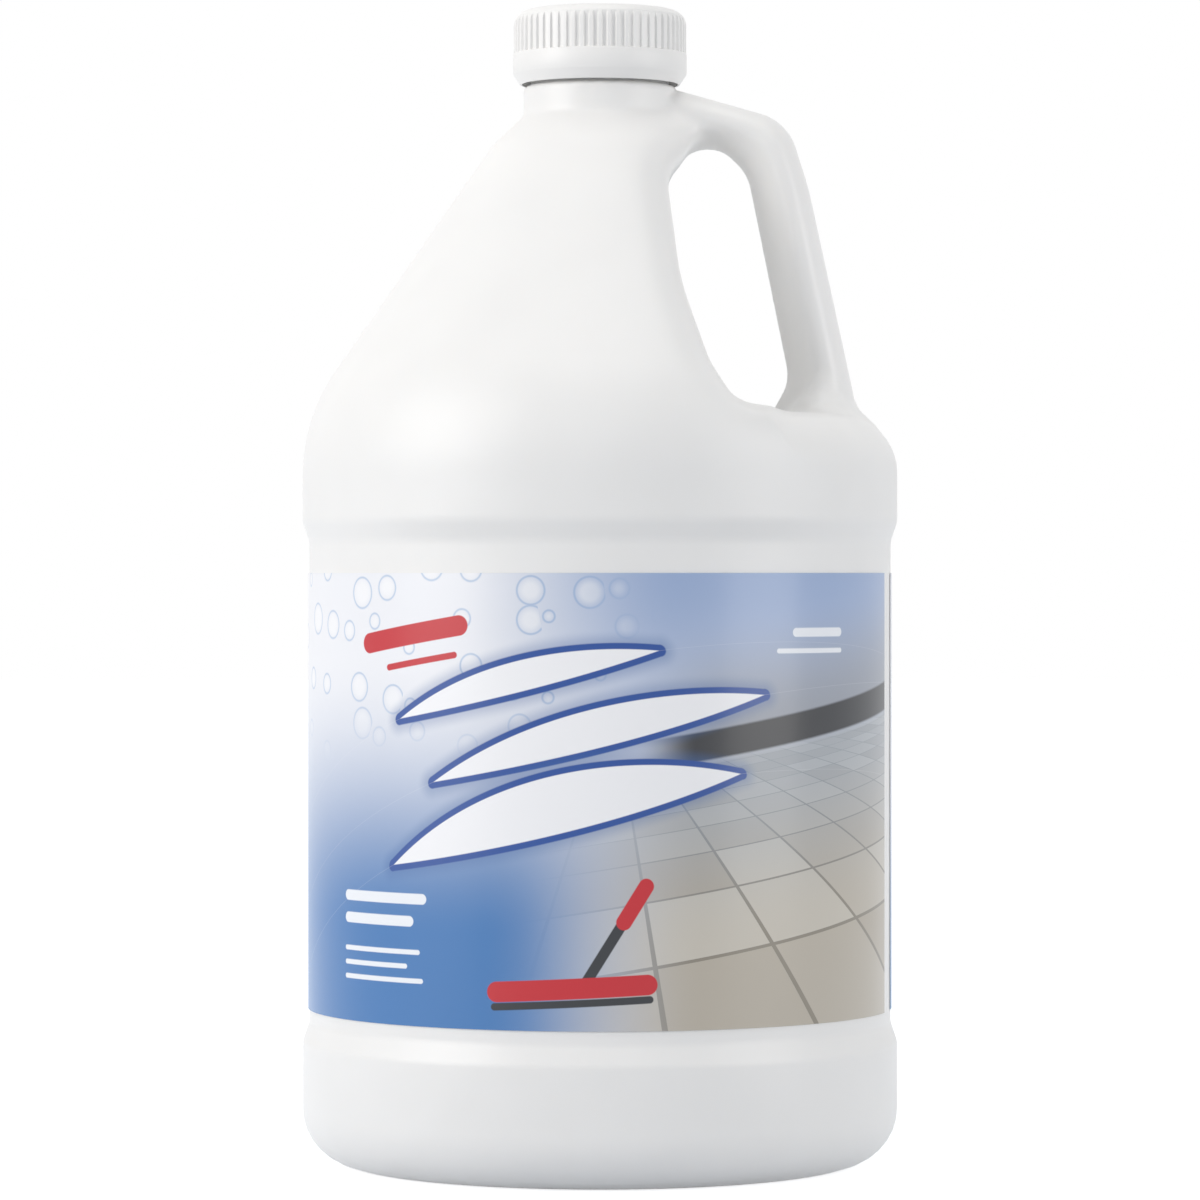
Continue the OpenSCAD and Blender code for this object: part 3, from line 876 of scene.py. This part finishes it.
# %% [markdown]
# ## The front label's print
# The design is a general one for a floor cleaner: a pale field that deepens to blue, three wiped
# streaks in white with a deep blue rim, droplets, and a squeegee on a tiled floor seen at a slant. A
# few plain bars give it red, black and white accents. It could be an image, but shapes drawn by nodes
# stay sharp from near by. Each is a distance on the UV map, and limits turn it into an area of ink.

# %% Start the print
print_ink, tree = new_material("coated_polypropylene_film_front")
uv = add(tree, "ShaderNodeUVMap", uv_map="print_mm")
uv_parts = add(tree, "ShaderNodeSeparateXYZ", {0: uv}).outputs


def lay_ink(tree, under, colour, limits, strength=1.0):
    """Lays ink over the print. A limit (value, none, full) fades it in between two values."""
    share = strength
    for value, none, full in limits:
        within = add(tree, "ShaderNodeMapRange", {"Value": value, "From Min": none, "From Max": full},
            interpolation_type="SMOOTHSTEP")
        share = add(tree, "ShaderNodeMath", {0: share, 1: within}, operation="MULTIPLY")
    over = linear(colour) if isinstance(colour, str) else colour
    return add(tree, "ShaderNodeMix", {0: share, 6: under, 7: over}, data_type="RGBA").outputs[2]


middle_turn = 12.0
film_out = 0.3
front_shift = math.radians(middle_turn) * (panel_r + film_out)
across = add(tree, "ShaderNodeMath", {0: uv_parts["X"], 1: -front_shift}, operation="ADD").outputs[0]
up = uv_parts["Y"]
print("the front middle is", round(front_shift, 1), "mm right of the label's middle")

# %% Lay the pale to blue field
ink = linear("#f3f4f8")
ink = lay_ink(tree, ink, "#9db2d6", [(across, -40.0, 20.0), (up, 40.0, 112.0)])
ink = lay_ink(tree, ink, "#3d78b6", [(across, 34.0, -30.0), (up, 90.0, 22.0)])

# %% Lay the droplets
drop_cell_mm = 13.0
drop_strength = 0.5
flat_place = add(tree, "ShaderNodeCombineXYZ", {"X": across, "Y": up})
cells = add(tree, "ShaderNodeTexVoronoi", {"Vector": flat_place, "Scale": 1 / drop_cell_mm,
    "Randomness": 0.85}, voronoi_dimensions="2D")
chance = add(tree, "ShaderNodeSeparateColor", {0: cells.outputs["Color"]})
drop_size = add(tree, "ShaderNodeMapRange", {"Value": chance, "To Min": 0.1, "To Max": 0.3})
from_rim = add(tree, "ShaderNodeMath", {0: cells.outputs["Distance"], 1: drop_size},
    operation="SUBTRACT")
rim = add(tree, "ShaderNodeMath", {0: from_rim}, operation="ABSOLUTE")
wet = [(up, 62.0, 84.0), (across, 16.0, -10.0)]
ink = lay_ink(tree, ink, "#6f9fd0", [(rim, 0.035, 0.0)] + wet, drop_strength)
ink = lay_ink(tree, ink, "#ffffff", [(from_rim, 0.0, -0.16)] + wet, drop_strength)

# %% Lay the tiled floor
floor_place, floor_slant = (6.0, 62.0, 0), math.radians(9)
vanishing, least_depth, row_depth = 16.0, 4.0, 95.0
floor_turn = add(tree, "ShaderNodeMapping", {"Vector": flat_place, "Location": floor_place,
    "Rotation": (0, 0, floor_slant)}, vector_type="TEXTURE")
floor_x, floor_y = add(tree, "ShaderNodeSeparateXYZ", {0: floor_turn}).outputs[:2]
depth = add(tree, "ShaderNodeMath", {0: vanishing, 1: floor_y}, operation="SUBTRACT")
depth = add(tree, "ShaderNodeMath", {0: depth, 1: least_depth}, operation="MAXIMUM")
tile_x = add(tree, "ShaderNodeMath", {0: floor_x, 1: depth}, operation="DIVIDE")
tile_y = add(tree, "ShaderNodeMath", {0: row_depth, 1: depth}, operation="DIVIDE")
tile_place = add(tree, "ShaderNodeCombineXYZ", {"X": tile_x, "Y": tile_y})
tiles = add(tree, "ShaderNodeTexBrick", {"Vector": tile_place, "Color1": linear("#cfc9bd"),
    "Color2": linear("#b3aa9b"), "Mortar": linear("#8d8679"), "Scale": 2.0, "Mortar Size": 0.02,
    "Brick Width": 1.0, "Row Height": 1.0}, offset=0.0)
tiled = lay_ink(tree, tiles.outputs["Color"], "#9fb0c4", [(floor_y, -45.0, 0.0)], 0.55)
ink = lay_ink(tree, ink, tiled, [(floor_y, 1.0, -1.5), (across, -20.0, 26.0)])
above_floor = [(floor_y, -1.0, 0.5), (floor_y, 34.0, 6.0), (across, 4.0, 34.0)]
skirting = [(floor_y, -0.4, 0.4), (floor_y, 7.4, 6.6), (across, 8.0, 24.0)]
ink = lay_ink(tree, ink, "#8f9298", above_floor, 0.75)
ink = lay_ink(tree, ink, "#23262c", skirting)

# %% Lay the wiped streaks
streak_tilt, streak_bow = math.radians(14.0), 0.3
rim_mm, soft_mm = 1.5, 0.2
streaks = [(-20.0, 85.5, 70.0, 7.5), (-1.0, 73.0, 88.0, 9.5), (-11.0, 54.5, 94.0, 14.0)]
for middle_x, middle_y, length, thickness in streaks:
    turned = add(tree, "ShaderNodeMapping", {"Vector": flat_place, "Location": (middle_x, middle_y, 0),
        "Rotation": (0, 0, streak_tilt)}, vector_type="TEXTURE")
    along, beside = add(tree, "ShaderNodeSeparateXYZ", {0: turned}).outputs[:2]
    share = add(tree, "ShaderNodeMath", {0: along, 1: length / 2}, operation="DIVIDE")
    share_sq = add(tree, "ShaderNodeMath", {0: share, 1: share}, operation="MULTIPLY")
    bow = add(tree, "ShaderNodeMath", {0: share_sq, 1: streak_bow * thickness, 2: beside},
        operation="MULTIPLY_ADD")
    side = add(tree, "ShaderNodeMath", {0: bow}, operation="ABSOLUTE")
    half = add(tree, "ShaderNodeMath", {0: share_sq, 1: -thickness / 2, 2: thickness / 2},
        operation="MULTIPLY_ADD")
    half = add(tree, "ShaderNodeMath", {0: half, 1: 0.0}, operation="MAXIMUM")
    edge = add(tree, "ShaderNodeMath", {0: side, 1: half}, operation="SUBTRACT")
    far_out = add(tree, "ShaderNodeMath", {0: along}, operation="ABSOLUTE")
    far_out = add(tree, "ShaderNodeMath", {0: far_out, 1: length / 2}, operation="SUBTRACT")
    off = add(tree, "ShaderNodeCombineXYZ", {"X": edge, "Y": far_out})
    off = add(tree, "ShaderNodeVectorMath", {0: off, 1: (0, 0, 0)}, operation="MAXIMUM")
    off = add(tree, "ShaderNodeVectorMath", {0: off}, operation="LENGTH").outputs["Value"]
    ink = lay_ink(tree, ink, "#3a68a6", [(off, 5.0, 1.0)], 0.4)
    ink = lay_ink(tree, ink, "#1d4c9a", [(off, rim_mm + soft_mm, rim_mm - soft_mm)])
    ink = lay_ink(tree, ink, "#fbfbfd", [(edge, 0.1, -0.2)])
print("streaks:", len(streaks))

# %% Lay the squeegee and the bars
# Each row is the middle across and up, the length, the thickness, the tilt in degrees and the ink.
red, black, white = "#c8202c", "#20242a", "#f3f6fb"
squeegee = [
    (3.0, 22.0, 30.0, 2.6, 58.0, black), (8.5, 30.6, 14.0, 3.8, 58.0, red),
    (-7.0, 10.2, 42.0, 5.0, 3.0, red), (-7.0, 6.6, 40.0, 1.8, 3.0, black)]
plain_bars = [
    (-50.0, 95.5, 34.0, 5.0, 9.0, red), (-47.0, 89.0, 22.0, 1.6, 9.0, red),
    (-60.0, 31.0, 30.0, 2.6, 0.0, white), (-62.0, 25.5, 26.0, 2.6, 0.0, white),
    (-61.0, 18.0, 28.0, 1.2, 0.0, white), (-63.0, 14.5, 24.0, 1.2, 0.0, white),
    (-60.5, 11.0, 29.0, 1.2, 0.0, white),
    (60.0, 96.0, 18.0, 2.2, 0.0, white), (57.5, 91.5, 23.0, 1.2, 0.0, white)]
bar_soft_mm = 0.15
for middle_x, middle_y, length, thickness, tilt, colour in squeegee + plain_bars:
    turned = add(tree, "ShaderNodeMapping", {"Vector": flat_place, "Location": (middle_x, middle_y, 0),
        "Rotation": (0, 0, math.radians(tilt))}, vector_type="TEXTURE")
    folded = add(tree, "ShaderNodeVectorMath", {0: turned}, operation="ABSOLUTE")
    folded = add(tree, "ShaderNodeVectorMath", {0: folded, 1: ((length - thickness) / 2, 0, 0)},
        operation="SUBTRACT")
    folded = add(tree, "ShaderNodeVectorMath", {0: folded, 1: (0, 0, 0)}, operation="MAXIMUM")
    away = add(tree, "ShaderNodeVectorMath", {0: folded}, operation="LENGTH").outputs["Value"]
    ink = lay_ink(tree, ink, colour, [(away, thickness / 2 + bar_soft_mm, thickness / 2 - bar_soft_mm)])
print("bars:", len(squeegee) + len(plain_bars))

# %% Close the print under its coat, and wrap it round the front
film_grain_mm = 1.2
place = add(tree, "ShaderNodeTexCoord").outputs["Object"]
film_grain = add(tree, "ShaderNodeTexNoise", {"Vector": place, "Scale": 1 / (film_grain_mm * MM)})
film_bump = add(tree, "ShaderNodeBump", {"Height": film_grain, "Strength": 0.15, "Distance": 0.01 * MM})
film_skin = add(tree, "ShaderNodeBsdfPrincipled", {"Base Color": ink, "Normal": film_bump,
    **film_finish})
add(tree, "ShaderNodeOutputMaterial", {"Surface": film_skin})
film("front_label_film", "front_label", -90 - middle_turn, print_ink)

# %% [markdown]
# ## The back label
# The photograph doesn't show the back. Such a jug carries a second film with directions, so this one
# keeps the front's colours: a pale field, a blue band along its top and plain rows of grey bars where
# the directions would be. Nothing on it can be read. The rows come from the whole and the broken part
# of a place divided by a row's height, so that two nodes stand for any number of rows.

# %% Print the back label
print_half, end_soft_mm = 93.0, 0.4
band_low, stripe_high, stripe_low = 92.5, 92.0, 90.8
rows_high, rows_low = 84.0, 8.4
row_mm, column_mm = 4.2, 62.0

back_ink, tree = new_material("coated_polypropylene_film_back")
uv = add(tree, "ShaderNodeUVMap", uv_map="print_mm")
back_x, back_y = add(tree, "ShaderNodeSeparateXYZ", {0: uv}).outputs[:2]
from_middle = add(tree, "ShaderNodeMath", {0: back_x}, operation="ABSOLUTE")
not_at_ends = (from_middle, print_half, print_half - end_soft_mm)
ink = lay_ink(tree, linear("#eff2f7"), "#a9c4e2", [(back_y, 70.0, 0.0)])
ink = lay_ink(tree, ink, "#2b62a8", [(back_y, band_low - soft_mm, band_low + soft_mm), not_at_ends])
ink = lay_ink(tree, ink, red, [(back_y, stripe_low - soft_mm, stripe_low + soft_mm),
    (back_y, stripe_high + soft_mm, stripe_high - soft_mm), not_at_ends])

rows = add(tree, "ShaderNodeMath", {0: back_y, 1: row_mm}, operation="DIVIDE")
row_part = add(tree, "ShaderNodeMath", {0: rows}, operation="FRACT")
row_number = add(tree, "ShaderNodeMath", {0: rows}, operation="FLOOR")
blocks = add(tree, "ShaderNodeMath", {0: back_x, 1: column_mm}, operation="DIVIDE")
blocks = add(tree, "ShaderNodeMath", {0: blocks, 1: 0.5}, operation="ADD")
block_part = add(tree, "ShaderNodeMath", {0: blocks}, operation="FRACT")
block_number = add(tree, "ShaderNodeMath", {0: blocks}, operation="FLOOR")
which = add(tree, "ShaderNodeCombineXYZ", {"X": block_number, "Y": row_number})
chance = add(tree, "ShaderNodeTexWhiteNoise", {"Vector": which}, noise_dimensions="2D")
row_end = add(tree, "ShaderNodeMapRange", {"Value": chance, "To Min": 0.6, "To Max": 0.93})
before_end = add(tree, "ShaderNodeMath", {0: block_part, 1: row_end}, operation="LESS_THAN")
after_start = add(tree, "ShaderNodeMath", {0: block_part, 1: 0.07}, operation="GREATER_THAN")
ink = lay_ink(tree, ink, "#5c6470", [(row_part, 0.3, 0.36), (row_part, 0.64, 0.58), (before_end, 0, 1),
    (after_start, 0, 1), (back_y, rows_low - soft_mm, rows_low + soft_mm),
    (back_y, rows_high + soft_mm, rows_high - soft_mm), not_at_ends], 0.6)
film_skin = add(tree, "ShaderNodeBsdfPrincipled", {"Base Color": ink, **film_finish})
add(tree, "ShaderNodeOutputMaterial", {"Surface": film_skin})
film("back_label_film", "back_label", 90 - middle_turn, back_ink)

# %% [markdown]
# ## Floor, backdrop and light
# The jug was lit as a catalogue shot: a large soft box on the left and in front, a weaker one on
# the right, and white all round. The floor and the world are white to the camera, and the world is a
# little blue to the object, which gives the cool shadows that white plastic has in such a picture.

# %% Make the floor and the world
half_floor = 6.0
floor_glow, object_light = 0.8, 0.46


def seen_plainly(tree):
    """1 for a ray from the camera, or one sent on by gloss or glass, and 0 for light on the object."""
    path = add(tree, "ShaderNodeLightPath").outputs
    seen = add(tree, "ShaderNodeMath", {0: path["Is Camera Ray"], 1: path["Is Glossy Ray"]},
        operation="MAXIMUM")
    return add(tree, "ShaderNodeMath", {0: seen, 1: path["Is Transmission Ray"]}, operation="MAXIMUM")


floor_mesh = bpy.data.meshes.new("studio_floor")
floor_mesh.from_pydata([(x * half_floor, y * half_floor, 0)
    for x, y in ((-1, -1), (1, -1), (1, 1), (-1, 1))], [], [(0, 1, 2, 3)])
floor_paint, tree = new_material("studio_floor_white")
matt = add(tree, "ShaderNodeBsdfDiffuse", {"Color": linear("#ccd0d6")})
level = add(tree, "ShaderNodeMath", {0: seen_plainly(tree), 1: floor_glow}, operation="MULTIPLY")
glow = add(tree, "ShaderNodeEmission", {"Color": (1, 1, 1, 1), "Strength": level})
both = add(tree, "ShaderNodeAddShader", {0: matt, 1: glow})
add(tree, "ShaderNodeOutputMaterial", {"Surface": both})
floor = new_object("studio_floor", floor_mesh, floor_paint)

world = bpy.data.worlds.new("studio_white")
world.use_nodes = True
bpy.context.scene.world = world
tree = world.node_tree
tree.nodes.clear()
seen = seen_plainly(tree)
tint = add(tree, "ShaderNodeMix", {0: seen, 6: linear("#eef2f8"), 7: (1, 1, 1, 1)}, data_type="RGBA")
level = add(tree, "ShaderNodeMapRange", {"Value": seen, "To Min": object_light, "To Max": 1.0})
sky = add(tree, "ShaderNodeBackground", {"Color": tint.outputs[2], "Strength": level})
add(tree, "ShaderNodeOutputWorld", {"Surface": sky})
print("world:", world.name, "floor:", floor.name)

# %% Hang the soft boxes
aim = Vector((0, 0, 0.14))
soft_boxes = {
    "soft_box_left": ((-1.6, -0.8, 0.8), 1.3, 21.0),
    "soft_box_right": ((1.5, -0.7, 0.5), 1.0, 9.0),
    "soft_box_top": ((0.0, -0.1, 1.6), 1.2, 5.0)}
for name, (place, size, watts) in soft_boxes.items():
    data = bpy.data.lights.new(name, "AREA")
    data.shape = "SQUARE"
    data.size = size
    data.energy = watts
    data.color = linear("#fffcf8")[:3]
    lamp = bpy.data.objects.new(name, data)
    lamp.location = place
    lamp.rotation_euler = (aim - Vector(place)).to_track_quat("-Z", "Y").to_euler()
    bpy.context.scene.collection.objects.link(lamp)
print("lamps:", list(soft_boxes))

# %% Finish
bpy.context.scene.view_settings.view_transform = "Standard"
